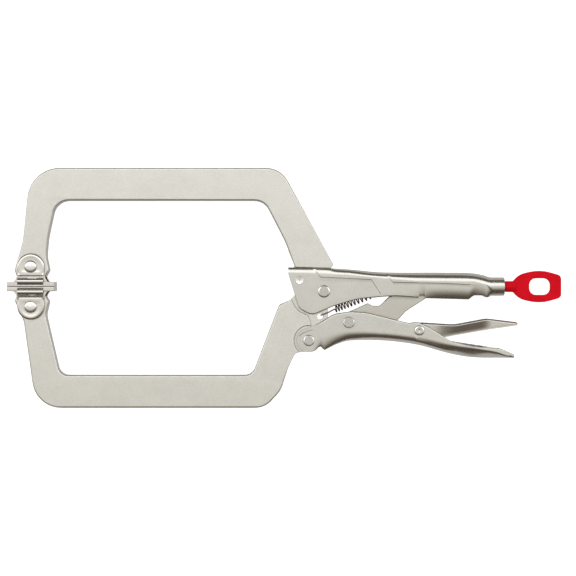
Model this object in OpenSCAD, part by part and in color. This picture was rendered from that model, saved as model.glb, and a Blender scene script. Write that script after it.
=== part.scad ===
// Locking C-clamp with swivel pads, lying on its side.
// The origin is the middle of the closed pads' contact line, halfway through the clamp's thickness.
// +X runs from the pads to the adjusting screw, +Y to the fixed arm, +Z out of the clamp's flat side.

/* [Linkage] */
// Main pivot, where the movable arm turns in the upper handle: distance from the pads
pivot_x = 242; // [240:0.5:244]
// Main pivot: height from the contact line
pivot_y = -4; // [-5:0.5:-3]
// Rivet between the movable arm and the lower handle: distance from the pads
jaw_rivet_x = 229.5; // [229:0.5:230]
// Rivet between the movable arm and the lower handle: height
jaw_rivet_y = -44.5; // [-45:0.5:-44]
// Toggle rivet in the lower handle: distance from the pads
toggle_x = 262.5; // [262:0.5:263]
// Toggle rivet in the lower handle: height
toggle_y = -29.6; // [-30:0.2:-29]
// Tail of the toggle link, which bears on the adjusting screw: distance from the pads
tail_x = 334; // [333:0.5:335]
// Tail of the toggle link: height
tail_y = 1; // [0:0.5:1.5]
// Release lever's rivet: distance from the pads
release_x = 320.6; // [320:0.2:322]
// Release lever's rivet: height
release_y = -36.2; // [-36.6:0.2:-35.8]

/* [Arms] */
// Thickness of the arms
arm_t = 10; // [9:0.5:10]
// Thickness of the movable arm's root, which turns between the cheeks of both handles
root_t = 7.4; // [7:0.1:7.6]
// Pivot of each swivel pad, from the contact line
pad_pivot = 16.5; // [16:0.5:17]
// Radius of the hole that takes the spring's hook
hook_hole_r = 2.6; // [2.2:0.1:2.8]

/* [Handles] */
// Thickness of the handles' pressed sheet
sheet = 2.6; // [2.2:0.1:2.6]
// Half of the room between the cheeks at the nose
nose_room = 3.9; // [3.9:0.1:4.2]
// Half of the room between the cheeks further back
back_room = 5.05; // [5:0.05:5.4]
// Outer radius of the rolled collar that holds the adjusting screw
collar_r = 7.65; // [7.5:0.05:8]
// Radius of the rounded edges along each handle's web
web_round = 5; // [3.5:0.5:5.5]

/* [Toggle link and release lever] */
// Thickness of the toggle link
link_t = 6.4; // [6:0.2:7]
// Radius of the link's tail
tail_r = 4.6; // [4:0.2:4.6]
// Half of the release lever's width
lever_half = 4.7; // [4.2:0.1:4.8]
// Thickness of the release lever's sheet
lever_sheet = 2; // [1.6:0.1:2.2]

/* [Adjusting screw] */
// Radius of the thread
screw_r = 4.7; // [4.5:0.05:4.75]
// Tip of the screw, clear of the link's tail
screw_tip_x = 344; // [343.6:0.2:346]
// End of the collar
collar_end_x = 391.5; // [390:0.5:392]
// Thickness of the thumb loop
loop_t = 5.6; // [5:0.2:7]

/* [Swivel pads] */
// Length of a pad's gripping face
pad_l = 39.1; // [36:0.1:40]
// Width of a pad's gripping face
pad_w = 20; // [19:0.5:22]
// Thickness of the pad's plate
pad_plate = 3.6; // [3:0.1:3.8]
// Width of a pad's ears
ear_w = 22.3; // [21:0.1:23]
// Thickness of an ear
ear_t = 2.4; // [2:0.1:2.6]
// Gap left between the two gripping faces
pad_gap = 0.6; // [0.4:0.1:1]

/* [Spring] */
// Outer radius of the tension spring
spring_r = 3.3; // [3:0.1:3.4]
// Radius of its wire
wire_r = 0.55; // [0.5:0.05:0.6]

/* [Hidden] */
$fn = 64;

run = 0.05;                        // radial running clearance of every pivot
eps = 0.01;                        // overlap that keeps two joined shapes one solid
far = 60;                          // reaches past the clamp's sides in a cut

main_pivot = [pivot_x, pivot_y];
jaw_point = [jaw_rivet_x, jaw_rivet_y];
toggle_point = [toggle_x, toggle_y];
release_point = [release_x, release_y];
pin_point = [221.8, 5.5];          // fixed arm's pin through the handle's nose
hook_point = [238.9, -24.8];       // spring's hole in the movable arm

main_shank_r = 3.9;
jaw_shank_r = 3.5;
toggle_shank_r = 3.5;
release_shank_r = 2.9;
pad_shank_r = 4;
pin_r = 3.5;

nose_half = nose_room + sheet;     // outer half width of both handles at the nose
back_half = back_room + sheet;     // outer half width of both handles further back
main_lobe_r = 9.8;                 // movable arm's lobe round the main pivot
jaw_lobe_r = 9.3;                  // movable arm's lobe round the jaw rivet
front_r = 9.8;                     // round front end of the lower handle

// ---- outlines: each corner is [x, y, radius] ----

function unit(v) = v / norm(v);
function cross_z(a, b) = a.x * b.y - a.y * b.x;
function xy(p) = [p.x, p.y];

// Points of the arc of radius r that rounds the corner at, on the way from a to b
function fillet(a, at, b, r) =
    let (u = unit(a - at), v = unit(b - at), half = acos(u * v) / 2)
    let (centre = at + unit(u + v) * r / sin(half), start = at + u * r / tan(half) - centre)
    let (turn = (180 - 2 * half) * (cross_z(at - a, b - at) > 0 ? 1 : -1))
    let (steps = max(2, ceil(abs(turn) / 9)), a0 = atan2(start.y, start.x))
    [for (i = [0:steps]) centre + r * [cos(a0 + turn * i / steps), sin(a0 + turn * i / steps)]];

function smooth(corners) = let (n = len(corners)) [for (i = [0:n - 1])
    let (c = corners[i], a = corners[(i + n - 1) % n], b = corners[(i + 1) % n])
    each (c[2] > 0 ? fillet(xy(a), xy(c), xy(b), c[2]) : [xy(c)])];

// Fixed arm: tip, inner side, root corner, then back along the outer side
fixed_arm_corners = [
    [-11.9, 8.1, 1], [11.9, 8.1, 1], [15, 13.2, 2.5], [12.5, 25, 18], [13.8, 40, 60],
    [20.5, 71, 13], [192.6, 71, 13], [209.3, 38.4, 40], [218.4, 16.1, 0], [247.8, 15.3, 0], [250, 18.2, 1],
    [206.2, 98.3, 21], [-0.8, 98.3, 27], [-6.9, 37.5, 60], [-13.9, 13.6, 3]];
// Its root, between the cheeks of the nose
fixed_root_corners = [
    [212.5, 30, 0], [217.6, 17.9, 0], [215.4, 13, 2], [219, -2.8, 1.5], [231, -0.6, 0],
    [247, 0, 0], [247, 15.4, 1], [249.6, 18.3, 0], [242, 32, 0]];

// Movable arm with its root: tip, outer side, root, then back along the inner side
movable_arm_corners = [
    [11.9, -7.6, 1], [-11.9, -7.6, 1], [-13.8, -11.6, 2.5], [-6.3, -28.5, 12],
    [3.9, -100.4, 24], [193, -100.4, 18], [206.5, -86, 22], [212.3, -67.5, 20],
    [218.5, -54.6, 5], [229.5, -53.8, 0], [238.8, -44.5, 0], [245.3, -32, 10], [245.3, -13, 0],
    [242, -4, 0], [231, -5.4, 0], [217.4, -7.4, 0.6], [214.3, -11, 3], [204.9, -15, 4],
    [182.5, -73.2, 9], [23.7, -73.2, 9], [12.1, -23.5, 12], [14.7, -12.4, 2.5]];
// Side of the arm that is thinned for the upper handle's nose and the lower handle
recess_corners = [
    [215, -10.8, 0], [218, -16.6, 3], [221.5, -20.6, 5], [229.4, -24.2, 3],
    [231.5, -32, 0], [229.5, -44.5, 0], [221.6, -54, 0], [219.5, -60, 0], [270, -60, 0],
    [270, 2, 0], [212, 2, 0]];

// Upper handle: nose, lower edge, rolled end, then back along the top
upper_handle_corners = [
    [212.4, 15.9, 1], [212.2, 11.6, 4], [221.6, -18.3, 7], [232, -23.7, 9], [250.1, -16.1, 30],
    [270, -10.2, 60], [300, -7.6, 80], [326, -9.7, 60], [361.6, -10.8, 1.5], [366, -7.4, 3],
    [373.5, -7.4, 3], [378.4, -10.2, 2.5], [382, -8.6, 1], [382, 8.4, 1], [375, 10.3, 8],
    [340, 11.6, 100], [288, 11.8, 100], [262, 14.4, 60]];
upper_web = [[205, 16.1], [262, 14.5], [289, 11.8], [396, 11.6]];

// Lower handle: front end, upper edge, tail; underneath, lower_web bounds it
lower_handle_corners = [
    [226, -34.9, 3], [233.5, -33, 8], [250.5, -22.6, 14], [264, -20.6, 20], [277, -21.4, 25],
    [312.5, -30.3, 10], [319, -29, 5], [329, -33.5, 10], [346.5, -45, 20], [366, -49.7, 20],
    [387, -50.8, 12], [398.9, -55.8, 1], [398.6, -62, 0], [300, -56, 0], [245, -56, 0],
    [242.3, -53, 0.8], [239.4, -49.4, 0.8], [233, -52.3, 3]];
lower_web = [[210, -64.8], [263.5, -44.4], [300, -44.8], [346, -56], [406, -60]];

// Toggle link between its two round ends
link_corners = [
    [258, -23, 0], [264.5, -20.2, 3], [278.5, -13.9, 1], [282, -15.9, 2.5], [288.5, -16.2, 5], [296, -8.4, 3],
    [332.2, 5.2, 0], [335.8, -3.2, 0], [324, -11.3, 8], [310, -20.3, 2.5], [302.4, -28.4, 2.5],
    [266, -37, 0]];

// Release lever: front end, upper edge, thumb tab, then back along the lower edge
release_corners = [
    [298.2, -33.6, 1.5], [322.5, -29.6, 12], [350, -31.3, 30], [376.5, -26.3, 14],
    [401.9, -29.4, 0.9], [402.3, -32.1, 0.9], [381, -35.1, 20],
    [350, -40.5, 20], [336, -43.2, 8], [318, -43.2, 8], [298, -37.3, 1.5]];
release_hollow_corners = [
    [302, -60, 0], [302, -35.3, 1], [322.5, -31.9, 8], [350, -33.5, 20], [376.5, -28.7, 8],
    [380.4, -29.2, 0.5], [380.4, -60, 0]];

// Thumb loop, one side of its axis; the other side mirrors it
loop_corners = [[398.8, 0, 0], [398.8, 4.4, 0.6], [404, 10.2, 16], [421, 14.2, 34], [438.6, 9.2, 4]];
loop_eye = [[412.1, 6.85, 5.5], [412.1, -6.85, 5.5], [429.7, -6.85, 5.5], [429.7, 6.85, 5.5]];

function mirrored(corners) = concat(corners, [for (i = [len(corners) - 1:-1:0])
    if (corners[i].y != 0) [corners[i].x, -corners[i].y, corners[i][2]]]);

// ---- shapes that the parts share ----

// A plate of thickness t with the given outline, centred on the middle plane
module plate(corners, t) {
    linear_extrude(height = t, center = true) polygon(smooth(corners));
}

// A hole across the clamp
module cross_hole(at, r) {
    translate([at.x, at.y, 0]) cylinder(h = far, r = r, center = true);
}

// Bars whose rounded back follows the line of points; side is 1 for a back on top, -1 underneath
module rounded_back(points, side) {
    deep = -side * (web_round + 1);
    for (i = [0:len(points) - 2]) let (along = points[i + 1] - points[i])
        translate([points[i].x, points[i].y, 0])
            rotate([0, 0, atan2(along.y, along.x)])
            translate([-0.6, 0, 0])
            rotate([90, 0, 90])
            linear_extrude(height = norm(along) + 1.2)
            polygon(smooth([[0, back_half, web_round], [deep, back_half, 0],
                [deep, -back_half, 0], [0, -back_half, web_round]]));
}

// Block that fills a channel's open side, starting at a depth below the line of its back
module inside(points, depth, half_w, side) {
    linear_extrude(height = 2 * half_w, center = true)
        polygon(concat([for (p = points) [p.x, p.y - side * depth]],
            [[points[len(points) - 1].x, -side * far], [points[0].x, -side * far]]));
}

// Plan view of a handle: narrow at the nose, and spreading behind the step
module plan(nose_w, step_x) {
    spread = 0.07;                 // slope of each cheek behind the step
    wide = nose_w + spread * (420 - step_x);
    rotate([90, 0, 0]) linear_extrude(height = 4 * far, center = true)
        polygon([[200, nose_w], [step_x, nose_w], [420, wide],
            [420, -wide], [step_x, -nose_w], [200, -nose_w]]);
}

// A pressed channel: the outline's plate with a rounded back, hollowed from the open side
module channel(corners, web, side, step_x) {
    difference() {
        intersection() {
            plate(corners, far);
            union() {
                rounded_back(web, side);
                inside(web, web_round, back_half, side);
            }
            plan(nose_half, step_x);
        }
        intersection() {
            inside(web, sheet, back_room, side);
            plan(nose_room, step_x);
        }
    }
}

// A rivet across the clamp, with a low domed head on each side
module rivet(at, shank_r, head_r, half_l, head_h) {
    dome = [for (a = [0:15:90]) [head_r * (0.35 + 0.65 * cos(a)), half_l + head_h * sin(a)]];
    upper = concat([[shank_r, half_l]], dome, [[0, half_l + head_h]]);
    lower = [for (i = [len(upper) - 1:-1:0]) [upper[i].x, -upper[i].y]];
    translate([at.x, at.y, 0]) rotate_extrude() polygon(concat(lower, upper));
}

// ---- parts on the upper handle ----

module upper_handle() {
    web_front = 248;
    tab_x = 296.5;
    color([0.78, 0.77, 0.74]) difference() {
        union() {
            channel(upper_handle_corners, upper_web, 1, 262);
            translate([374, 0, 0]) rotate([0, 90, 0]) cylinder(h = collar_end_x - 374, r = collar_r);
            // lanced tab that the spring's rear hook holds
            translate([tab_x - 0.8, -3, -2.6]) cube([1.6, 13, 5.2]);
        }
        // open top, where the fixed arm enters the nose
        translate([200, -far, -nose_room]) cube([web_front - 200, 2 * far, 2 * nose_room]);
        // notch in the lower edge
        translate([320.2, -12, -far / 2]) cube([5.4, 4.6, far]);
        cross_hole(pin_point, pin_r);
        cross_hole(main_pivot, main_shank_r);
        translate([370, 0, 0]) rotate([0, 90, 0]) cylinder(h = 40, r = screw_r + run);
        translate([tab_x, -1, 0]) rotate([0, 90, 0]) cylinder(h = 4, r = 1.1, center = true);
    }
}

module fixed_arm() {
    color([0.84, 0.83, 0.8]) difference() {
        union() {
            plate(fixed_arm_corners, arm_t);
            plate(fixed_root_corners, 2 * nose_room);
        }
        cross_hole(main_pivot, main_lobe_r + 0.7);
        cross_hole(pin_point, pin_r);
        cross_hole([0, pad_pivot], pad_shank_r + run);
    }
}

module fixed_arm_pin() {
    half_l = nose_half - 0.5;
    color([0.8, 0.8, 0.78]) difference() {
        translate([pin_point.x, pin_point.y, 0]) cylinder(h = 2 * half_l, r = pin_r, center = true);
        // centre dimple on both ends
        for (side = [-1, 1]) translate([pin_point.x, pin_point.y, side * (half_l + 0.3)]) sphere(r = 1.1);
    }
}

module main_pivot_rivet() {
    color([0.86, 0.86, 0.84]) rivet(main_pivot, main_shank_r, 5.1, nose_half, 1.3);
}

// ---- adjusting screw ----

spigot_x = 392.2;
spigot_end_x = 398;

module adjusting_screw() {
    spigot_r = 3;
    color([0.72, 0.72, 0.7]) rotate([90, 0, 90]) rotate_extrude()
        polygon([[0, screw_tip_x], [screw_r - 1.4, screw_tip_x], [screw_r, screw_tip_x + 1.4],
            [screw_r, spigot_x], [spigot_r, spigot_x], [spigot_r, spigot_end_x], [0, spigot_end_x]]);
}

module thumb_loop() {
    neck_r = 4.6;
    color([0.8, 0.1, 0.14]) difference() {
        union() {
            plate(mirrored(loop_corners), loop_t);
            translate([spigot_x + 0.1, 0, 0]) rotate([0, 90, 0]) cylinder(h = 9, r = neck_r);
        }
        plate(loop_eye, far);
        translate([390, 0, 0]) rotate([0, 90, 0]) cylinder(h = spigot_end_x + 0.3 - 390, r = 3 + run);
    }
}

// ---- movable arm ----

module movable_arm() {
    color([0.84, 0.83, 0.8]) difference() {
        union() {
            difference() {
                plate(movable_arm_corners, arm_t);
                plate(recess_corners, far);
                cross_hole(jaw_point, front_r + 2.5);
                cross_hole([pivot_x + 0.8, pivot_y - 17], 14.2);
            }
            plate(movable_arm_corners, root_t);
            translate([pivot_x, pivot_y, 0]) cylinder(h = root_t, r = main_lobe_r, center = true);
            translate([jaw_rivet_x, jaw_rivet_y, 0]) cylinder(h = root_t, r = jaw_lobe_r, center = true);
        }
        cross_hole(main_pivot, main_shank_r + run);
        cross_hole(jaw_point, jaw_shank_r + run);
        cross_hole(hook_point, hook_hole_r);
        cross_hole([0, -pad_pivot], pad_shank_r + run);
    }
}

// ---- lower handle and what it carries ----

module lower_handle() {
    web_front = 242.2;
    color([0.78, 0.77, 0.74]) difference() {
        union() {
            channel(lower_handle_corners, lower_web, -1, 266);
            for (side = [-1, 1]) translate([jaw_rivet_x, jaw_rivet_y, side * (nose_half - sheet / 2)])
                cylinder(h = sheet, r = front_r, center = true);
        }
        // open underneath, where the movable arm's root enters
        translate([200, -far - 40, -nose_room]) cube([web_front - 200, far + 40, 2 * nose_room]);
        cross_hole(jaw_point, jaw_shank_r);
        cross_hole(toggle_point, toggle_shank_r);
        cross_hole(release_point, release_shank_r);
    }
}

module jaw_rivet() {
    color([0.86, 0.86, 0.84]) rivet(jaw_point, jaw_shank_r, 4.6, nose_half, 1.2);
}

module toggle_rivet() {
    color([0.86, 0.86, 0.84]) rivet(toggle_point, toggle_shank_r, 4.7, nose_half, 1.2);
}

module release_rivet() {
    color([0.86, 0.86, 0.84]) rivet(release_point, release_shank_r, 4.1, back_half, 1.2);
}

module toggle_link() {
    color([0.7, 0.69, 0.66]) difference() {
        union() {
            plate(link_corners, link_t);
            translate([toggle_x, toggle_y, 0]) cylinder(h = link_t, r = 8, center = true);
            translate([tail_x, tail_y, 0]) cylinder(h = link_t, r = tail_r, center = true);
        }
        cross_hole(toggle_point, toggle_shank_r + run);
    }
}

module release_lever() {
    color([0.8, 0.79, 0.76]) difference() {
        plate(release_corners, 2 * lever_half);
        // hollow underneath, ending where the thumb tab begins
        plate(release_hollow_corners, 2 * (lever_half - lever_sheet));
        cross_hole(release_point, release_shank_r + run);
    }
}

module tension_spring() {
    rise = 21;                     // slope of the spring's axis
    front = [251.2, -18.6];
    coil_l = 39;
    color([0.3, 0.3, 0.3]) {
        translate([front.x, front.y, 0]) rotate([0, 0, rise]) rotate([0, 90, 0]) difference() {
            cylinder(h = coil_l, r = spring_r);
            translate([0, 0, -1]) cylinder(h = coil_l + 2, r = spring_r - 2 * wire_r);
        }
        // front hook: a leg beside the arm's root and a cross wire through its hole
        translate([front.x, front.y, root_t / 2 + wire_r + 0.1]) rotate([0, 0, rise]) rotate([0, -90, 0])
            cylinder(h = 12.5, r = wire_r);
        translate([239.6, -23.1, 0]) cylinder(h = root_t + 4 * wire_r, r = wire_r, center = true);
        translate([front.x + 0.2, front.y, 2.3]) cylinder(h = root_t / 2 + wire_r * 2 - 2.2, r = wire_r);
    }
}

// ---- swivel pads: side is 1 for the fixed arm's pad, -1 for the movable arm's ----

module pad(side) {
    ear_in = arm_t / 2 + 0.15;
    mirror([0, side < 0 ? 1 : 0, 0]) translate([0, pad_gap / 2, 0]) difference() {
        union() {
            rotate([-90, 0, 0]) linear_extrude(height = pad_plate)
                polygon(smooth([[-pad_l / 2, -pad_w / 2, 3], [pad_l / 2, -pad_w / 2, 3],
                    [pad_l / 2, pad_w / 2, 3], [-pad_l / 2, pad_w / 2, 3]]));
            for (z = [-1, 1]) {
                translate([0, 0, z * (ear_in + ear_t / 2)]) linear_extrude(height = ear_t, center = true)
                    polygon(smooth([[-ear_w / 2, pad_plate - eps, 0], [-ear_w / 2, 27, 10.9],
                        [ear_w / 2, 27, 10.9], [ear_w / 2, pad_plate - eps, 0]]));
                // rolled foot that joins the ear to the plate
                translate([-ear_w / 2 - 1, pad_plate - eps, z > 0 ? ear_in : -ear_in - ear_t - 1.6])
                    cube([ear_w + 2, 2.6, ear_t + 1.6]);
            }
        }
        cross_hole([0, pad_pivot - pad_gap / 2], pad_shank_r);
    }
}

module fixed_pad() { color([0.88, 0.88, 0.87]) pad(1); }
module moving_pad() { color([0.88, 0.88, 0.87]) pad(-1); }

module pad_rivet(side) {
    color([0.9, 0.9, 0.89]) rivet([0, side * pad_pivot], pad_shank_r, 5.3, arm_t / 2 + 0.15 + ear_t, 1.9);
}

module fixed_pad_rivet() { pad_rivet(1); }
module moving_pad_rivet() { pad_rivet(-1); }

upper_handle();
fixed_arm();
fixed_arm_pin();
main_pivot_rivet();
adjusting_screw();
thumb_loop();
movable_arm();
jaw_rivet();
lower_handle();
toggle_rivet();
toggle_link();
release_rivet();
release_lever();
tension_spring();
fixed_pad();
fixed_pad_rivet();
moving_pad();
moving_pad_rivet();
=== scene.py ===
import math

import bmesh
import bpy
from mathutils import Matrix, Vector
from mathutils.bvhtree import BVHTree
from mathutils.geometry import tessellate_polygon


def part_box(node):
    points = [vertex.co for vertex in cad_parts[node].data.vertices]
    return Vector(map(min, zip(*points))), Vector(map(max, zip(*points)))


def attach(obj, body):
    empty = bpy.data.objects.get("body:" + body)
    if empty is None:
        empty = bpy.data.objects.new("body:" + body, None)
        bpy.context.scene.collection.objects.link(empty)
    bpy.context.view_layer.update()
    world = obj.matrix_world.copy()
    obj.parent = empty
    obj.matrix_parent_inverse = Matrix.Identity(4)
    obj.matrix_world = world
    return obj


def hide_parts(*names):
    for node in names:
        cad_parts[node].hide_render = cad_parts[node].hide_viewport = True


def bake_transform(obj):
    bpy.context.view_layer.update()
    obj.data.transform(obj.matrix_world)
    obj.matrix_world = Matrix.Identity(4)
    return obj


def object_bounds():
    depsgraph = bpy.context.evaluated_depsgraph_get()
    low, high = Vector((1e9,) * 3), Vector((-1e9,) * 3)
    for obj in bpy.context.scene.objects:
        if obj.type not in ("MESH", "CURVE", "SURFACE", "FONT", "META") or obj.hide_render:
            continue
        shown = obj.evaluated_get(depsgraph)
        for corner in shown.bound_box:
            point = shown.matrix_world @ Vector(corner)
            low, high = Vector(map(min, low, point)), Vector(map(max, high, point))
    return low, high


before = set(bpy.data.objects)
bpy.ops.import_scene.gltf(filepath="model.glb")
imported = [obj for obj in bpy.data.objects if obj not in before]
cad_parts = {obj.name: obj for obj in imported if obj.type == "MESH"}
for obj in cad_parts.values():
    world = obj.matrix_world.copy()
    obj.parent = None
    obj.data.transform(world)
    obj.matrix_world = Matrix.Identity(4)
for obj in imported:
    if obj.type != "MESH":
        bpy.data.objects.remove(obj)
cad_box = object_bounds()

# Lengths below are in millimetres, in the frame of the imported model; piece() turns them into metres.
# +X runs from the pads to the thumb loop, +Y to the fixed arm, and +Z is the side that faces the camera.
MM = 0.001


# ---------------------------------------------------------------- lines and meshes

def line(*points):
    """Height of the broken line through the points, as a function of x, held level past its ends."""
    def height(x):
        if x <= points[0][0]:
            return points[0][1]
        for (x0, y0), (x1, y1) in zip(points, points[1:]):
            if x <= x1:
                return y0 + (y1 - y0) * (x - x0) / (x1 - x0)
        return points[-1][1]
    return height


def curve(*points):
    """Height of a smooth curve through the points, as a function of x."""
    last = len(points) - 1
    slopes = []
    for i in range(last + 1):
        (xa, ya), (xb, yb) = points[max(i - 1, 0)], points[min(i + 1, last)]
        slopes.append((yb - ya) / (xb - xa))

    def height(x):
        x = min(max(x, points[0][0]), points[-1][0])
        i = next(k for k in range(last) if x <= points[k + 1][0])
        (x0, y0), (x1, y1) = points[i], points[i + 1]
        span = x1 - x0
        t = (x - x0) / span
        return ((1 + 2 * t) * (1 - t) ** 2 * y0 + t * (1 - t) ** 2 * span * slopes[i]
                + t * t * (3 - 2 * t) * y1 + t * t * (t - 1) * span * slopes[i + 1])
    return height


def constant(value):
    """The same value at every x."""
    return lambda x: value


def ease(t):
    """A soft step from 0 to 1 while t goes from 0 to 1."""
    t = min(max(t, 0), 1)
    return t * t * (3 - 2 * t)


def spread(start, stop, spacing, fine=()):
    """Stations from start to stop, closer together inside the fine ranges (from, to, spacing)."""
    stations = [start]
    while stations[-1] < stop - 0.05:
        x = stations[-1]
        step = min([gap for low, high, gap in fine if low <= x < high] + [spacing])
        ahead = [low for low, _, _ in fine if x < low < x + step] + [stop]
        stations.append(min([x + step] + ahead))
    return stations


def piece(name, points, faces, body, slot, *nodes):
    """A mesh that rides on a CAD body, takes its finish from a slot and stands for CAD nodes."""
    mesh = bpy.data.meshes.new(name)
    mesh.from_pydata([Vector(p) * MM for p in points], [], faces)
    mesh.polygons.foreach_set("use_smooth", [True] * len(mesh.polygons))
    obj = bpy.data.objects.new(name, mesh)
    bpy.context.scene.collection.objects.link(obj)
    mesh.materials.append(MATERIALS[slot])
    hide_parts(*nodes)
    if body:
        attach(obj, body)
    return obj


def modifier(obj, kind, **settings):
    """Adds a modifier with the settings given."""
    added = obj.modifiers.new(kind.title(), kind)
    for key, value in settings.items():
        setattr(added, key, value)
    return added


def soften(obj, width, degrees=40, segments=2):
    """Rounds the edges sharper than an angle, and keeps flat faces flat in the shading."""
    modifier(obj, "BEVEL", width=width * MM, segments=segments, limit_method="ANGLE",
             angle_limit=math.radians(degrees), use_clamp_overlap=True)
    modifier(obj, "WEIGHTED_NORMAL", weight=80, keep_sharp=False)


def grid(rows, closed=False, flip=False, missing=lambda i, j: False):
    """Points and faces of a skin whose rows have the same number of points."""
    count = len(rows[0])
    points = [p for row in rows for p in row]
    faces = []
    for i in range(len(rows) - 1):
        for j in range(count if closed else count - 1):
            if missing(i, j):
                continue
            k = (j + 1) % count
            face = (i * count + j, (i + 1) * count + j, (i + 1) * count + k, i * count + k)
            faces.append(face[::-1] if flip else face)
    return points, faces


def lathe(profile, place, sides=48):
    """Points and faces of a closed solid turned from (radius, height); place puts (u, v, height) down."""
    rows = [[place(r * math.cos(2 * math.pi * k / sides), r * math.sin(2 * math.pi * k / sides), h)
             for k in range(sides)] for r, h in profile]
    points, faces = grid(rows, closed=True)
    ends = [list(range(sides)), list(range(len(points) - sides, len(points)))]
    return points, faces + [ends[0][::-1], ends[1]]


def join(*parts):
    """Several (points, faces) in one."""
    points, faces = [], []
    for more_points, more_faces in parts:
        start = len(points)
        points += more_points
        faces += [tuple(start + i for i in face) for face in more_faces]
    return points, faces


def tube(path, radius, sides=10):
    """Points and faces of a round wire along a path."""
    path = [Vector(p) for p in path]
    rows = []
    across = (path[1] - path[0]).orthogonal()
    for i, at in enumerate(path):
        ahead = (path[min(i + 1, len(path) - 1)] - path[max(i - 1, 0)]).normalized()
        across = (across - ahead * across.dot(ahead)).normalized()
        other = ahead.cross(across)
        rows.append([at + radius * (math.cos(a) * across + math.sin(a) * other)
                     for a in (2 * math.pi * k / sides for k in range(sides))])
    points, faces = grid(rows, closed=True, flip=True)
    ends = [list(range(sides)), list(range(len(points) - sides, len(points)))]
    return points, faces + [ends[0], ends[1][::-1]]


def box_mm(node):
    """Lowest and highest corner of a CAD node's box, in millimetres."""
    low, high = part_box(node)
    return low / MM, high / MM


# ---------------------------------------------------------------- materials

def shader(name):
    """A new material, with its nodes, its links and its surface shader."""
    material = bpy.data.materials.new(name)
    material.use_nodes = True
    nodes, links = material.node_tree.nodes, material.node_tree.links
    return material, nodes, links, nodes["Principled BSDF"]


def noise(nodes, links, coordinates, size, detail=3.0, rough=0.6):
    """A noise texture whose grains are about size millimetres across."""
    texture = nodes.new("ShaderNodeTexNoise")
    texture.inputs["Scale"].default_value = 1 / (size * MM)
    texture.inputs["Detail"].default_value = detail
    texture.inputs["Roughness"].default_value = rough
    links.new(coordinates, texture.inputs["Vector"])
    return texture.outputs["Fac"]


def remap(nodes, links, value, low, high, start=0.35, stop=0.65):
    """A value that goes from low to high while the input goes from start to stop."""
    step = nodes.new("ShaderNodeMapRange")
    for key, amount in zip(("From Min", "From Max", "To Min", "To Max"), (start, stop, low, high)):
        step.inputs[key].default_value = amount
    links.new(value, step.inputs["Value"])
    return step.outputs["Result"]


def tint(nodes, links, share, colour, darker, brighter):
    """A colour, from its darker to its brighter shade while share goes from 0 to 1."""
    shade = nodes.new("ShaderNodeMix")
    shade.data_type = "RGBA"
    shade.inputs["A"].default_value = (*[c * darker for c in colour], 1)
    shade.inputs["B"].default_value = (*[min(c * brighter, 1) for c in colour], 1)
    links.new(share, shade.inputs["Factor"])
    return shade.outputs["Result"]


def dent(nodes, links, principled, height, strength, depth):
    """Fine unevenness of a surface, depth millimetres deep."""
    bump = nodes.new("ShaderNodeBump")
    bump.inputs["Strength"].default_value = strength
    bump.inputs["Distance"].default_value = depth * MM
    links.new(height, bump.inputs["Height"])
    links.new(bump.outputs["Normal"], principled.inputs["Normal"])


CREVICE_PAINTED_SHADE = 0.5     # painted shade: how much of its brownish dark colour a deep crevice takes
PAINTED_SHADE_REACH = 2.2    # how near to other metal a surface is when it takes painted shade


def metal(name, colour, roughness, grain, bump):
    """Plated or machined steel: grain (its size), cloudy gloss, fine bump (its strength), painted shade in
    crevices.
    """
    material, nodes, links, principled = shader(name)
    coordinates = nodes.new("ShaderNodeTexCoord").outputs["Object"]
    principled.inputs["Metallic"].default_value = 1.0

    cloud = noise(nodes, links, coordinates, 14, detail=4)
    fine = noise(nodes, links, coordinates, grain, detail=2)
    speck = nodes.new("ShaderNodeMath")
    links.new(remap(nodes, links, cloud, 0, 0.35), speck.inputs[0])
    links.new(remap(nodes, links, fine, 0, 0.65), speck.inputs[1])
    shade = tint(nodes, links, speck.outputs["Value"], colour, 0.92, 1.07)

    # Painted shade: ambient occlusion darkens the colour towards a brownish dark wherever other metal is
    # near, in crevices and between parts
    crevice = nodes.new("ShaderNodeAmbientOcclusion")
    crevice.inputs["Distance"].default_value = PAINTED_SHADE_REACH * MM
    crevice.samples = 6
    painted_shade = nodes.new("ShaderNodeMix")
    painted_shade.data_type = "RGBA"
    painted_shade.blend_type = "MULTIPLY"
    painted_shade.inputs["B"].default_value = (0.42, 0.36, 0.31, 1)
    links.new(shade, painted_shade.inputs["A"])
    painted_shade_share = remap(nodes, links, crevice.outputs["AO"], CREVICE_PAINTED_SHADE, 0, 0.25, 0.8)
    links.new(painted_shade_share, painted_shade.inputs["Factor"])
    links.new(painted_shade.outputs["Result"], principled.inputs["Base Color"])

    both = nodes.new("ShaderNodeMath")
    links.new(remap(nodes, links, cloud, -0.015, 0.015), both.inputs[0])
    links.new(remap(nodes, links, fine, roughness - 0.03, roughness + 0.03), both.inputs[1])
    links.new(both.outputs["Value"], principled.inputs["Roughness"])
    dent(nodes, links, principled, fine, bump, 0.05)
    return material


def coating(name, colour):
    """Dipped plastic coating: satin red with a faint orange peel."""
    material, nodes, links, principled = shader(name)
    coordinates = nodes.new("ShaderNodeTexCoord").outputs["Object"]
    peel = noise(nodes, links, coordinates, 1.3, detail=2)
    cloud = noise(nodes, links, coordinates, 9, detail=3)
    shade = tint(nodes, links, remap(nodes, links, cloud, 0, 1), colour, 0.93, 1.05)
    links.new(shade, principled.inputs["Base Color"])
    links.new(remap(nodes, links, peel, 0.42, 0.55), principled.inputs["Roughness"])
    principled.inputs["Specular IOR Level"].default_value = 0.06
    dent(nodes, links, principled, peel, 0.15, 0.1)
    return material


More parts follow.
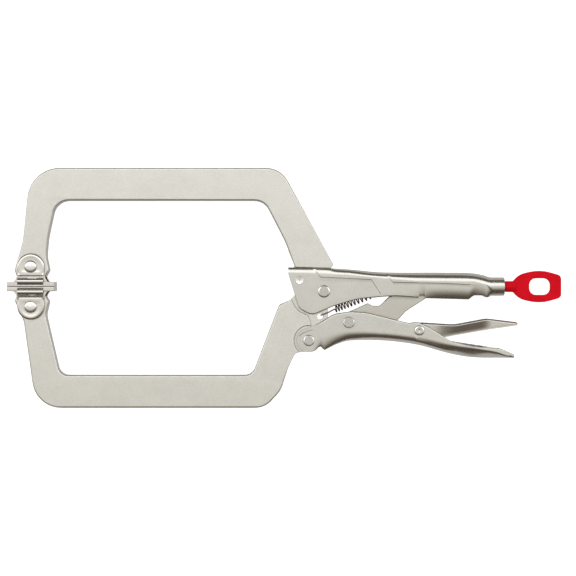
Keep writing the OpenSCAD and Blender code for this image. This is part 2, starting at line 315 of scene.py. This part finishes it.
MATERIALS = {
    "arm_steel": metal("arm_steel", (0.675, 0.66, 0.615), 0.36, 0.9, 0.5),
    "handle_steel": metal("handle_steel", (0.615, 0.60, 0.56), 0.22, 0.8, 0.35),
    "pad_steel": metal("pad_steel", (0.69, 0.67, 0.63), 0.16, 1.1, 0.12),
    "rivet_steel": metal("rivet_steel", (0.80, 0.79, 0.76), 0.18, 0.7, 0.15),
    "link_steel": metal("link_steel", (0.55, 0.53, 0.48), 0.38, 0.7, 0.4),
    "screw_steel": metal("screw_steel", (0.60, 0.585, 0.55), 0.28, 0.8, 0.2),
    "spring_wire": metal("spring_wire", (0.20, 0.165, 0.14), 0.30, 0.6, 0.2),
    "red_coating": coating("red_coating", (0.80, 0.004, 0.016)),
}
# Duller than the rest of a rivet, for the flat middle of its head
RIVET_FACE = metal("rivet_face", (0.54, 0.525, 0.49), 0.26, 0.7, 0.2)


# ---------------------------------------------------------------- plates cut from bar

def outlines(node, level):
    """The closed outlines, as lists of (x, y), of a CAD node's flat faces at a height."""
    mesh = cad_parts[node].data
    keys = [(round(v.co.x / MM, 4), round(v.co.y / MM, 4)) for v in mesh.vertices]
    after = {}
    for face in mesh.polygons:
        if all(abs(mesh.vertices[i].co.z / MM - level) < 0.01 for i in face.vertices):
            loop = [keys[i] for i in face.vertices]
            for here, there in zip(loop, loop[1:] + loop[:1]):
                if here in after.get(there, []):
                    after[there].remove(here)
                else:
                    after.setdefault(here, []).append(there)
    found = []
    while any(after.values()):
        start = next(key for key, ways in after.items() if ways)
        loop = [start]
        while after.get(loop[-1]):
            loop.append(after[loop[-1]].pop())
            if loop[-1] == start:
                break
        if len(loop) > 3:
            found.append(loop[:-1])
    return found


def ways_inward(loop):
    """For each point of an outline, the way into the material, long enough to keep an inset even."""
    ways = []
    for before, at, after in zip(loop[-1:] + loop[:-1], loop, loop[1:] + loop[:1]):
        a = (Vector(at) - Vector(before)).normalized().orthogonal()
        b = (Vector(after) - Vector(at)).normalized().orthogonal()
        middle = (a + b).normalized()
        ways.append(middle / max(middle.dot(a), 0.75))
    return ways


def rounded_plate(node, level, edge, steps=4):
    """Points and faces of a plate between -level and level on a CAD node's outline, with rounded edges."""
    width = edge if callable(edge) else lambda x, y: edge
    loops = outlines(node, level)
    turns = [math.radians(90 * k / steps) for k in range(steps + 1)]
    points, faces, tops, starts = [], [], [], []
    for loop in loops:
        ways = ways_inward(loop)
        rows = []
        for side in (-1, 1):
            for turn in (turns[::-1] if side < 0 else turns):
                rows.append([(*(Vector(at) + way * width(*at) * (1 - math.cos(turn))),
                              side * (level - width(*at) * (1 - math.sin(turn))))
                             for at, way in zip(loop, ways)])
        more_points, more_faces = grid(rows, closed=True, flip=True)
        start = len(points)
        points += more_points
        faces += [tuple(start + i for i in face) for face in more_faces]
        starts.append((start, start + len(more_points) - len(loop)))
        tops.append([Vector(p) for p in rows[-1]])
    below = [first + i for (first, _), loop in zip(starts, loops) for i in range(len(loop))]
    above = [last + i for (_, last), loop in zip(starts, loops) for i in range(len(loop))]
    flat = [point for top in tops for point in top]
    for a, b, c in tessellate_polygon(tops):
        if (flat[b] - flat[a]).cross(flat[c] - flat[a]).z < 0:
            b, c = c, b
        faces += [(above[a], above[b], above[c]), (below[a], below[c], below[b])]
    return points, faces


def bar(name, node, body, slot, *plates):
    """A CAD node made of flat plates (half the thickness, radius of its edges)."""
    points, faces = join(*[rounded_plate(node, level, edge) for level, edge in plates])
    obj = piece(name, points, faces, body, slot, node)
    modifier(obj, "WEIGHTED_NORMAL", weight=80, keep_sharp=False)


ARM_EDGE = 1.5         # radius of the arms' rounded edges
ROOT_EDGE = 0.3        # radius of the edges of the arms' thinner roots


def fixed_arm_edge(x, y):
    """Radius of the fixed arm's edges, which get sharper where the arm enters the nose."""
    return ARM_EDGE - 1.1 * ease((26 - y) / 8) if x > 100 else ARM_EDGE


def movable_arm_edge(x, y):
    """Radius of the movable arm's edges, which get sharper beside its root."""
    return ARM_EDGE - 1.15 * ease((x - 207) / 8)


bar("fixed_arm_bar", "fixed_arm", "upper_handle", "arm_steel", (5, fixed_arm_edge), (3.9, ROOT_EDGE))
bar("movable_arm_bar", "movable_arm", "movable_arm", "arm_steel", (5, movable_arm_edge), (3.7, ROOT_EDGE))
bar("toggle_link_plate", "toggle_link", "toggle_link", "link_steel", (3.2, 0.7))


# ---------------------------------------------------------------- pressed channels

SHEET = 2.6            # thickness of the handles' sheet
STEP_HALF = 0.3        # half width of a pressed step, across its line
STEP_RISE = 0.4        # height of a pressed step
CHEEK_Z = 5.3          # height at which the cheeks' outline is felt for on the CAD solid
RIM_TURNS = (0, 30, 60)    # degrees round the open edge's rounding, a row at each
FLAT_ROWS = 7          # rows below a pressed step, and as many above it
ROUND_ROWS = 9         # rows round the corner between a cheek and the web


def feeler(node, toward, z=CHEEK_Z):
    """The first height that a ray at x meets on a CAD node, going up (toward 1) or down (toward -1)."""
    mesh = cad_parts[node].data
    tree = BVHTree.FromPolygons([v.co for v in mesh.vertices], [p.vertices for p in mesh.polygons])

    def height(x):
        start = Vector((x, -toward * 200, z)) * MM
        hit = tree.ray_cast(start, Vector((0, toward, 0)))[0]
        return hit.y / MM if hit else None
    return height


def bezier(p0, p1, p2, p3, t):
    """The point at t on a cubic curve."""
    s = 1 - t
    return [s ** 3 * a + 3 * s * s * t * b + 3 * s * t * t * c + t ** 3 * d
            for a, b, c, d in zip(p0, p1, p2, p3)]


def half_section(x, edge, bend, web, half, inner, full, step, low, high, curl, curl_depth,
                 lift=constant(0), rim=0.9):
    """Outer skin of half a channel at x, as (y, z) from the open edge to the middle of its web.

    edge, bend and web are the heights of the open edge, of the cheek's end and of the web. half is the
    cheek's distance from the middle plane, and inner the flat part of the web. full says how square the
    corner is, and lift raises its foot. Past step the cheek stands out by high, and before it by low.
    Within curl of the open edge, the cheek curls inwards by curl_depth. rim rounds the open edge.
    """
    y_edge, y_web = edge(x), web(x)
    way = 1 if y_web > y_edge else -1
    y_bend = y_edge + way * min(max((bend(x) - y_edge) * way, 0.4), max((y_web - y_edge) * way - 0.3, 0.5))
    y_step = step(x)

    def skin(y, z):
        raised = min(max((y - y_step) * way / (2 * STEP_HALF) + 0.5, 0), 1)
        depth = curl_depth(x) * max(1 - (y - y_edge) * way / curl, 0) ** 2
        return y, z + low(x) + (high(x) - low(x)) * raised - depth

    room = max((y_bend - y_edge) * way / 2 - 0.02, 0)
    gap = min(STEP_HALF, room)
    split = y_edge + way * min(max((y_step - y_edge) * way, gap + 0.01),
                               max((y_bend - y_edge) * way - gap, gap))
    rim = min(rim, 0.6 * max((split - y_edge) * way - gap, 0.02))
    rows = [skin(y_edge + way * rim * (1 - math.cos(turn)), half(x) - rim * (1 - math.sin(turn)))
            for turn in map(math.radians, RIM_TURNS)]
    for start, stop in ((y_edge + way * rim, split - way * gap), (split + way * gap, y_bend)):
        rows += [skin(start + (stop - start) * k / (FLAT_ROWS - 1), half(x)) for k in range(FLAT_ROWS)]
    inside = inner(x)
    corner = [(y_bend, half(x)), (y_bend + full(x) * (y_web - y_bend), half(x)),
              (y_web - way * lift(x), inside + (0.45 - 0.14 * lift(x)) * (half(x) - inside)),
              (y_web, inside)]
    rows += [skin(*bezier(*corner, (k + 1) / ROUND_ROWS)) for k in range(ROUND_ROWS)]
    return rows, (y_web, 0)


def both_sides(x, half_rows, middle):
    """A whole section at x, from one open edge over the web to the other."""
    return [(x, y, z) for y, z in half_rows] + [(x, *middle)] + [(x, y, -z) for y, z in half_rows[::-1]]


def thicken(points, faces, thickness):
    """A skin made into a sheet, by adding an inner skin and the rims between the two."""
    used = sorted({i for face in faces for i in face})
    place = {old: new for new, old in enumerate(used)}
    points, faces = [Vector(points[i]) for i in used], [tuple(place[i] for i in face) for face in faces]
    skin = bpy.data.meshes.new("skin")
    skin.from_pydata(points, [], faces)
    inner = []
    for at, vertex in zip(points, skin.vertices):
        normal = Vector((0, vertex.normal.y, vertex.normal.z))
        outward = math.copysign(1, at.z)
        if normal.length < 0.3 or normal.z * outward < -0.3:
            normal = Vector((0, 0, outward))
        inner.append(at - normal.normalized() * thickness)
    bpy.data.meshes.remove(skin)
    count = len(points)
    edges = {(a, b) for face in faces for a, b in zip(face, face[1:] + face[:1])}
    rims = [(b, a, count + a, count + b) for a, b in sorted(edges) if (b, a) not in edges]
    return points + inner, faces + [tuple(count + i for i in face[::-1]) for face in faces] + rims


def pressing(name, stations, section, body, slot, node, sheet, web_from, up):
    """A channel of sheet, whose web is missing before web_from."""
    rows = [both_sides(x, *section(x)) for x in stations]
    cheek = (len(rows[0]) - 1) // 2 - 1

    def missing(i, j):
        return cheek <= j <= cheek + 1 and stations[i] < web_from - 0.01

    skin = grid(rows, flip=not up, missing=missing)
    return piece(name, *thicken(*skin, sheet), body, slot, node)


def upper_handle():
    """Channel with its web on top, which closes round the screw into a collar at its end."""
    web = curve((205, 15.9), (235, 15.6), (262, 14.3), (289, 11.9), (340, 11.6), (366, 11.0), (382, 7.65))
    bend = line((212, 11.2), (262, 9.6), (289, 7.0), (300, 6.0), (320, 4.6), (366, 4.2), (382, 0))
    felt = feeler("upper_handle", 1)
    half = line((262, 6.5), (278.4, 7.65))
    inner = line((247, 4.1), (252, 2.2), (289, 2.4), (320, 1.0), (382, 0.4))
    step = line((232, 15.9), (234.2, 14), (239.3, 7.6), (281.2, 5.6), (289.6, -7.6), (290, -8),
                (293.4, 11.2), (298.7, 3.5), (337.8, 2.6), (363.2, 1.4), (372, 1.2))
    low = line((289, 0), (290, STEP_RISE), (363, STEP_RISE), (376, 0))
    high = line((232, 0), (234, STEP_RISE), (292.8, STEP_RISE), (294, 2 * STEP_RISE),
                (361, 2 * STEP_RISE), (366, STEP_RISE), (376, 0))
    curl_depth = curve((296, 0), (312, 0.3), (322, 1.1), (334, 2.7), (361, 3.0), (370, 2.2), (376, 1.6),
                       (382, 0))
    collar_r, collar_from, collar_end = 7.65, 382.0, 391.5
    cheek_rows = len(RIM_TURNS) + 2 * FLAT_ROWS

    def section(x):
        rows, middle = half_section(x, felt, bend, web, half, inner, constant(0.5), step, low, high,
                                    9.7, curl_depth)
        round_now = ease((x - 375) / 7)
        mixed = []
        for k, (y, z) in enumerate(rows):
            # The cheek goes to the lower quarter of the collar, and the corner to the upper one
            if k < cheek_rows:
                angle = -85 * (1 - k / (cheek_rows - 1))
            else:
                angle = 88 * (k - cheek_rows + 1) / (len(rows) - cheek_rows)
            ring = (collar_r * math.sin(math.radians(angle)), collar_r * math.cos(math.radians(angle)))
            mixed.append((y + (ring[0] - y) * round_now, z + (ring[1] - z) * round_now))
        return mixed, (middle[0] + (collar_r - middle[0]) * round_now, 0)

    stations = spread(212.35, 382.6, 1.6, [(212.35, 224, 0.45), (232, 240, 0.6), (248, 248.1, 0.1),
                                           (280.5, 299, 0.6), (319.4, 326.4, 0.35), (360, 382.6, 0.7)])
    obj = pressing("upper_handle_pressing", stations, section, "upper_handle", "handle_steel",
                   "upper_handle", SHEET, 248, True)
    soften(obj, 0.3, 48)

    bore, outer, sides = 4.85, collar_r + 0.02, 64
    corners = ((bore, collar_from), (outer, collar_from), (outer, collar_end), (bore, collar_end))
    rows = [[(x, r * math.cos(a), r * math.sin(a)) for a in (2 * math.pi * k / sides for k in range(sides))]
            for r, x in corners]
    points, faces = grid(rows + rows[:1], closed=True, flip=True)
    ring = piece("upper_handle_collar", points, faces, "upper_handle", "handle_steel")
    soften(ring, 0.9, 40, 3)


def lower_handle():
    """Channel with its web underneath, whose round front end turns on the jaw rivet."""
    front = 229.5
    under = feeler("lower_handle", 1)
    over = feeler("lower_handle", -1)
    web_line = curve((242.2, -52.8), (253, -47.6), (264, -44.7), (292, -44.7), (320, -48.3), (346, -55.3),
                     (366, -58.6), (398.7, -58.9))

    def web(x):
        return under(x) if x < 242.15 else web_line(x)

    bend = curve((219, -42.8), (234.4, -42.5), (243, -40), (263.5, -37), (292, -38.2), (317, -41),
                 (330, -43.3), (348, -47.8), (368, -51), (384, -53.6), (392, -56.4), (398.7, -57.6))
    half = line((266, 6.5), (282.4, 7.65))
    inner = line((232, 6.4), (241, 4.2), (245, 3.2), (264, 0.9), (386, 0.9), (394, 5), (398.7, 6))
    full = line((330, 0.5), (348, 0.34), (366, 0.16), (384, 0.3))
    lift = line((336, 0), (348, 1.2), (378, 1.2), (388, 0))
    step = line((316.2, -33), (316.8, -40), (319.3, -43.7), (339.6, -50.4), (352, -54))
    low = line((315.8, 0), (316.6, -STEP_RISE), (344, -STEP_RISE), (352, 0))

    def section(x):
        return half_section(x, over, bend, web, half, inner, full, step, low,
                            constant(0), 6, constant(0), lift)

    nose_r = 9.78
    nose = [front - nose_r * math.cos(math.radians(a)) for a in range(4, 88, 6)]
    stations = nose + spread(nose[-1] + 0.5, 398.7, 1.6, [(228, 244, 0.6), (242.2, 242.3, 0.1),
                                                         (315.6, 320, 0.5), (386, 398.7, 0.8)])
    obj = pressing("lower_handle_pressing", stations, section, "lower_handle", "handle_steel",
                   "lower_handle", SHEET, 242.2, False)
    soften(obj, 0.3, 48)


def release_lever():
    """Channel with its web on top, whose cheeks lean inwards below a narrow rim."""
    sheet = 1.5
    over = feeler("release_lever", -1, 0)
    under = feeler("release_lever", 1, 3.7)

    def bend(x):
        return over(x) - 1.8

    half = constant(4.7)
    inner = constant(2.6)
    lean = line((330, 0.6), (342, 2.7), (374, 2.7), (381, 0.3), (402, 0))

    def section(x):
        rows, middle = half_section(x, under, bend, over, half, inner, constant(0.45), constant(-100),
                                    constant(0), constant(0), 1, constant(0), rim=0.5)
        top, lip = over(x) - 1.4, under(x) + 1.2
        return [(y, z - lean(x) * min(max((top - y) / max(top - lip, 0.5), 0), 1))
                for y, z in rows], middle

    stations = spread(298.5, 402.0, 1.6, [(298, 303, 0.6), (376, 402, 0.9)])
    obj = pressing("release_lever_pressing", stations, section, "release_lever", "handle_steel",
                   "release_lever", sheet, 0, True)
    soften(obj, 0.35, 48)


upper_handle()
lower_handle()
release_lever()


# ---------------------------------------------------------------- rivets and pin

def both_ends(profile, cx, cy):
    """Points and faces of a solid turned round (cx, cy), as high above the middle plane as below it."""
    return lathe([(a, -h) for a, h in profile[::-1]] + profile, lambda u, v, h: (cx + u, cy + v, h))


def rivet(node, body, flat_share, head, dimple=0.0):
    """A rivet with a set head on both sides: a duller flat face inside a sloping ring."""
    low, high = box_mm(node)
    cx, cy, top = (low.x + high.x) / 2, (low.y + high.y) / 2, high.z
    r = (high.x - low.x) / 2
    flat = r * flat_share
    rise = 0.36 * (r - flat)
    ring = [(r * 0.7, top - head - 0.4), (r - 0.05, top - head - 0.4), (r, top - rise - 0.3),
            (r - 0.08, top - rise - 0.1), (r - 0.25, top - rise), (flat + 0.25, top - 0.06),
            (flat + 0.08, top), (flat - 0.12, top - 0.05), (flat - 0.22, top - 0.22),
            (flat - 0.24, top - 0.9), (0.02, top - 0.9)]
    obj = piece(node + "_set", *both_ends(ring, cx, cy), body, "rivet_steel", node)
    modifier(obj, "WEIGHTED_NORMAL", weight=60, keep_sharp=False)
    disc = [(flat - 0.26, top - 0.7), (flat - 0.26, top - 0.18), (flat - 0.32, top - 0.16),
            (flat - 0.6, top - 0.16)]
    if dimple:
        disc += [(dimple, top - 0.14), (dimple * 0.6, top - 0.32)]
    disc.append((0.02, disc[-1][1]))
    face = piece(node + "_face", *both_ends(disc, cx, cy), body, "rivet_steel", node)
    face.data.materials[0] = RIVET_FACE
    modifier(face, "WEIGHTED_NORMAL", weight=60, keep_sharp=False)


def pin(node, body):
    """The nose pin, with a dished rim and a centre dimple in both ends."""
    low, high = box_mm(node)
    cx, cy, top, r = (low.x + high.x) / 2, (low.y + high.y) / 2, high.z + 1.0, (high.x - low.x) / 2
    upper = [(r, top - 0.9), (r, top - 0.15), (r - 0.15, top), (r - 0.3, top - 0.02),
             (r - 1.25, top - 0.38), (r - 1.5, top - 0.4), (1.2, top - 0.4), (0.8, top - 0.6),
             (0.4, top - 0.75), (0.02, top - 0.8)]
    obj = piece(node + "_turned", *both_ends(upper, cx, cy), body, "rivet_steel", node)
    modifier(obj, "WEIGHTED_NORMAL", weight=60, keep_sharp=False)


def dome_rivet(node, body):
    """A pad's rivet, with a high polished dome on both sides."""
    low, high = box_mm(node)
    cx, cy, top = (low.x + high.x) / 2, (low.y + high.y) / 2, high.z
    r, rise = (high.x - low.x) / 2, 2.3
    upper = [(r * 0.7, top - rise - 0.3), (r, top - rise - 0.3), (r, top - rise + 0.3)]
    upper += [(r * math.cos(turn) ** 0.8, top - rise + 0.3 + (rise - 0.3) * math.sin(turn))
              for turn in map(math.radians, range(10, 90, 10))]
    upper.append((0.02, top))
    piece(node + "_dome", *both_ends(upper, cx, cy), body, "rivet_steel", node)


rivet("main_pivot_rivet", "upper_handle", 0.74, 1.3)
rivet("jaw_rivet", "lower_handle", 0.76, 1.2)
rivet("toggle_rivet", "lower_handle", 0.82, 1.2)
rivet("release_rivet", "lower_handle", 0.68, 1.2, dimple=0.7)
pin("fixed_arm_pin", "upper_handle")
dome_rivet("fixed_pad_rivet", "fixed_pad")
dome_rivet("moving_pad_rivet", "moving_pad")


# ---------------------------------------------------------------- swivel pads

def gussets(name, node, body, side, facing):
    """The two small webs that join an ear to the gripping plate, one at each end of the ear's foot."""
    corner = [(9.6, 3.4), (14.6, 3.4), (13.2, 5.0), (12.1, 7.0), (11.2, 9.6), (9.6, 9.6)]
    low, high, count = 5.3, 6.7, len(corner)
    around = [(i, (i + 1) % count, (i + 1) % count + count, i + count) for i in range(count)]
    solid = around + [tuple(range(count))[::-1], tuple(range(count, 2 * count))]
    sides = []
    for way in (-1, 1):
        points = [(way * x, side * y, facing * z) for z in (low, high) for x, y in corner]
        sides.append((points, [face[::-1] for face in solid] if way * side * facing < 0 else solid))
    soften(piece(name, *join(*sides), body, "pad_steel", node), 0.35, 40, 2)


def swivel_pad(node, body, side):
    """Stamped pad: two dished ears, a rolled bulge across each, and the gripping plate."""
    low, high = box_mm(node)
    ear_r, ear_y, ear_z, neck = 11.15, 16.15, 7.5, 10.7
    dish, rim, foot_y, sheet = 0.35, 0.9, 9.4, 1.9

    def half_width(y):
        if y >= ear_y:
            return math.sqrt(max(ear_r ** 2 - (y - ear_y) ** 2, 0))
        return ear_r - (ear_r - neck) * ease((ear_y - y) / 6.5)

    # The stamping's section, as (distance from the contact line, height)
    foot = [(foot_y, ear_z), (8.95, 7.15), (8.6, 7.35), (8.1, 7.75), (7.7, 7.7), (7.3, 7.9), (6.7, 8.6),
            (6.0, 9.25), (5.2, 9.75), (4.3, 9.95), (3.4, 9.75), (2.6, 9.25), (2.0, 8.6), (1.6, 8.4),
            (1.2, 8.6), (0.85, 8.8), (0.45, 8.7)]
    turns = map(math.radians, (86, 80, 73, 66, 58, 50, 42, 34, 26, 18, 9, 0))
    ear = [(ear_y + ear_r * math.sin(turn), ear_z) for turn in turns]
    ear += [(y, ear_z) for y in (14.8, 13.5, 12.2, 11.2, 10.3)]
    rows = []
    columns = [math.sin(math.radians(a)) for a in range(-90, 91, 9)]
    for y, z in ear + foot:
        row = []
        for c in columns:
            x = c * half_width(y)
            if y > ear_y:
                inset = ear_r - math.hypot(x, y - ear_y)
            else:
                inset = min(half_width(y) - abs(x), y - 9.2)
            sunk = dish * ease((inset - 2.2) / 2) if y > foot_y else 0
            sunk += rim * (1 - min(max(inset / 2, 0), 1)) ** 2 * ease((y - foot_y) / 1.5)
            row.append((x, side * y, z - sunk))
        rows.append(row)
    for facing, label in ((1, "front"), (-1, "back")):
        turned = [[(x, y, facing * z) for x, y, z in row] for row in rows]
        points, faces = grid(turned, flip=(facing * side < 0))
        obj = piece(f"{node}_{label}_ear", points, faces, body, "pad_steel", node)
        modifier(obj, "SOLIDIFY", thickness=sheet * MM, offset=-1)
        soften(obj, 0.5, 50, 3)
        gussets(f"{node}_{label}_gussets", node, body, side, facing)

    grip_low, grip_high, wing_z = 0.02, 3.9, 8.3
    corners = [(x, side * y, z) for x in (low.x, high.x) for y in (grip_low, grip_high)
               for z in (-wing_z, wing_z)]
    faces = [(0, 1, 3, 2), (4, 6, 7, 5), (0, 4, 5, 1), (2, 3, 7, 6), (0, 2, 6, 4), (1, 5, 7, 3)]
    if side < 0:
        faces = [face[::-1] for face in faces]
    plate = piece(node + "_plate", corners, faces, body, "pad_steel", node)
    soften(plate, 0.6, 40, 3)


swivel_pad("fixed_pad", "fixed_pad", 1)
swivel_pad("moving_pad", "moving_pad", -1)


# ---------------------------------------------------------------- spring

def tension_spring():
    """Coil from the movable arm's hole to the tab in the upper handle, opening out towards the rear."""
    front, slope, length = Vector((251.2, -18.6, 0)), math.radians(21), 38.4
    wire, mean_r, turns, first_pitch = 0.55, 2.75, 12.25, 2.3
    along = Vector((math.cos(slope), math.sin(slope), 0))
    across = Vector((-math.sin(slope), math.cos(slope), 0))
    growth = (length - first_pitch * turns) / turns ** 2
    steps = int(turns * 22)
    out = Vector((0, 0, 1))
    coil = []
    for k in range(steps + 1):
        n = turns * k / steps
        angle = 2 * math.pi * n + math.pi / 2
        coil.append(front + along * (first_pitch * n + growth * n * n)
                    + mean_r * (math.cos(angle) * across + math.sin(angle) * out))
    side = 3.7 + wire + 0.25       # the hook stands this far out, past the arm's thinner root
    leg = Vector((239.7, -23.7, side))
    hook = [leg - (2 * side + 0.6) * out, leg - out, leg + Vector((0.25, 0.1, -0.25)),
            leg + along * 1.2, leg + along * 6]
    tab = Vector((296.5, -1.0, 0))
    tail = [coil[-1] + along * 0.8 - across * 0.1, tab - along * 2.5 + out * 0.6, tab, tab + along * 1.2]
    points, faces = tube(hook + [coil[0] - along * 1.4 + out * 0.7] + coil + tail, wire)
    obj = piece("tension_spring_coil", points, faces, None, "spring_wire", "tension_spring")
    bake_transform(obj)


tension_spring()


# ---------------------------------------------------------------- screw and thumb loop

def adjusting_screw():
    """The threaded shank, whose thread runs out at both ends, and the thinner spigot in the loop."""
    low, high = box_mm("adjusting_screw")
    pitch, depth, r, spigot = 1.5875, 0.75, 4.7, 2.95
    sides, per_turn = 24, 8
    start, stop = low.x, 392.2
    steps = int((stop - start) / pitch * per_turn)
    rows = []
    for k in range(steps + 1):
        x = start + (stop - start) * k / steps
        fade = min((x - start) / 1.5, (stop - x) / 0.8, 1)
        row = []
        for s in range(sides):
            turn = (x / pitch - s / sides) % 1
            ridge = min(max(abs(turn - 0.5) * 4 - 0.5, 0), 1)
            radius = r - depth * ridge - (1 - fade) * 1.2
            a = 2 * math.pi * s / sides
            row.append((x, radius * math.cos(a), radius * math.sin(a)))
        rows.append(row)
    rows += [[(x, spigot * math.cos(2 * math.pi * s / sides), spigot * math.sin(2 * math.pi * s / sides))
              for s in range(sides)] for x in (stop, high.x)]
    points, faces = grid(rows, closed=True, flip=True)
    faces += [tuple(range(sides)), tuple(range(len(points) - sides, len(points)))[::-1]]
    piece("adjusting_screw_thread", points, faces, "adjusting_screw", "screw_steel", "adjusting_screw")


def thumb_loop():
    """The CAD loop, remeshed and smoothed so that its coating rounds every edge."""
    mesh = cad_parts["thumb_loop"].data
    solid = bmesh.new()
    solid.from_mesh(mesh)
    bmesh.ops.remove_doubles(solid, verts=solid.verts, dist=1e-6)
    solid.verts.index_update()
    points = [v.co / MM for v in solid.verts]
    faces = [[v.index for v in face.verts] for face in solid.faces]
    solid.free()
    obj = piece("thumb_loop_coated", points, faces, "thumb_loop", "red_coating", "thumb_loop")
    voxel, passes = 0.45, 14
    modifier(obj, "REMESH", mode="VOXEL", voxel_size=voxel * MM, use_smooth_shade=True)
    modifier(obj, "SMOOTH", factor=0.5, iterations=passes)


adjusting_screw()
thumb_loop()


# ---------------------------------------------------------------- studio

def floor():
    """A pale floor just below the clamp: white to the camera, and dull in the reflections."""
    mesh = bpy.data.meshes.new("floor")
    reach, z = 6.0, cad_box[0][2] - 0.0002
    corners = [(-reach, -reach, z), (reach, -reach, z), (reach, reach, z), (-reach, reach, z)]
    mesh.from_pydata(corners, [], [(0, 1, 2, 3)])
    obj = bpy.data.objects.new("floor", mesh)
    bpy.context.scene.collection.objects.link(obj)
    material, nodes, links, principled = shader("pale_floor")
    principled.inputs["Base Color"].default_value = (0.5, 0.5, 0.49, 1)
    principled.inputs["Roughness"].default_value = 0.9
    principled.inputs["Specular IOR Level"].default_value = 0.1
    principled.inputs["Emission Color"].default_value = (1, 1, 0.995, 1)
    direct = nodes.new("ShaderNodeLightPath")
    links.new(remap(nodes, links, direct.outputs["Is Camera Ray"], 0.22, 1.0, 0, 1),
              principled.inputs["Emission Strength"])
    mesh.materials.append(material)


def tilt_ramp(nodes, links, share, stops):
    """Colours over the sky's tilt, as (degrees from overhead towards +Y, colour) from low to high."""
    ramp = nodes.new("ShaderNodeValToRGB")
    elements = ramp.color_ramp.elements
    for element, (degrees, colour) in zip(elements, (stops[0], stops[-1])):
        element.position, element.color = degrees / 180 + 0.5, (*colour, 1)
    for degrees, colour in stops[1:-1]:
        elements.new(degrees / 180 + 0.5).color = (*colour, 1)
    links.new(share, ramp.inputs["Fac"])
    return ramp.outputs["Color"]


def studio_light():
    """A soft sky: light overhead, a bright bank high on the +Y side, dark walls low down."""
    world = bpy.data.worlds.new("studio")
    bpy.context.scene.world = world
    world.use_nodes = True
    nodes, links = world.node_tree.nodes, world.node_tree.links
    background = nodes["Background"]
    where = nodes.new("ShaderNodeSeparateXYZ")
    links.new(nodes.new("ShaderNodeTexCoord").outputs["Generated"], where.inputs["Vector"])
    tilt = nodes.new("ShaderNodeMath")
    tilt.operation = "ARCTAN2"
    links.new(where.outputs["Y"], tilt.inputs[0])
    links.new(where.outputs["Z"], tilt.inputs[1])
    share = remap(nodes, links, tilt.outputs["Value"], 0, 1, -math.pi / 2, math.pi / 2)
    colour = tilt_ramp(nodes, links, share, [
        (-90, (0.10, 0.075, 0.055)), (-48, (0.13, 0.10, 0.08)), (-30, (0.42, 0.39, 0.34)),
        (-14, (0.80, 0.78, 0.73)), (0, (0.95, 0.94, 0.91)), (8, (1.0, 1.0, 0.98)),
        (20, (1.0, 1.0, 1.0)), (44, (1.0, 1.0, 1.0)), (50, (0.14, 0.12, 0.10)), (90, (0.16, 0.14, 0.12))])
    bank = tilt_ramp(nodes, links, share, [
        (6, (0, 0, 0)), (17, (1, 1, 1)), (43, (1, 1, 1)), (48, (0, 0, 0))])
    gain = nodes.new("ShaderNodeMapRange")
    links.new(bank, gain.inputs["Value"])
    gain.inputs["To Min"].default_value = 1.0
    gain.inputs["To Max"].default_value = 1.7
    direct = nodes.new("ShaderNodeLightPath")
    seen = nodes.new("ShaderNodeMix")
    seen.data_type = "RGBA"
    seen.inputs["B"].default_value = (1, 1, 1, 1)
    links.new(direct.outputs["Is Camera Ray"], seen.inputs["Factor"])
    links.new(colour, seen.inputs["A"])
    links.new(seen.outputs["Result"], background.inputs["Color"])
    links.new(gain.outputs["Result"], background.inputs["Strength"])


def camera():
    """Straight above the clamp, with +Y up in the picture."""
    data = bpy.data.cameras.new("camera")
    obj = bpy.data.objects.new("camera", data)
    bpy.context.scene.collection.objects.link(obj)
    centre, height, distance, view_width = (0.2123, -0.0012), 1.205, 1.2, 0.4758
    data.sensor_width = 36
    data.lens = data.sensor_width * distance / view_width
    obj.location = (*centre, height)
    bpy.context.scene.camera = obj


floor()
studio_light()
camera()
bpy.context.scene.view_settings.view_transform = "Standard"

bpy.context.view_layer.update()
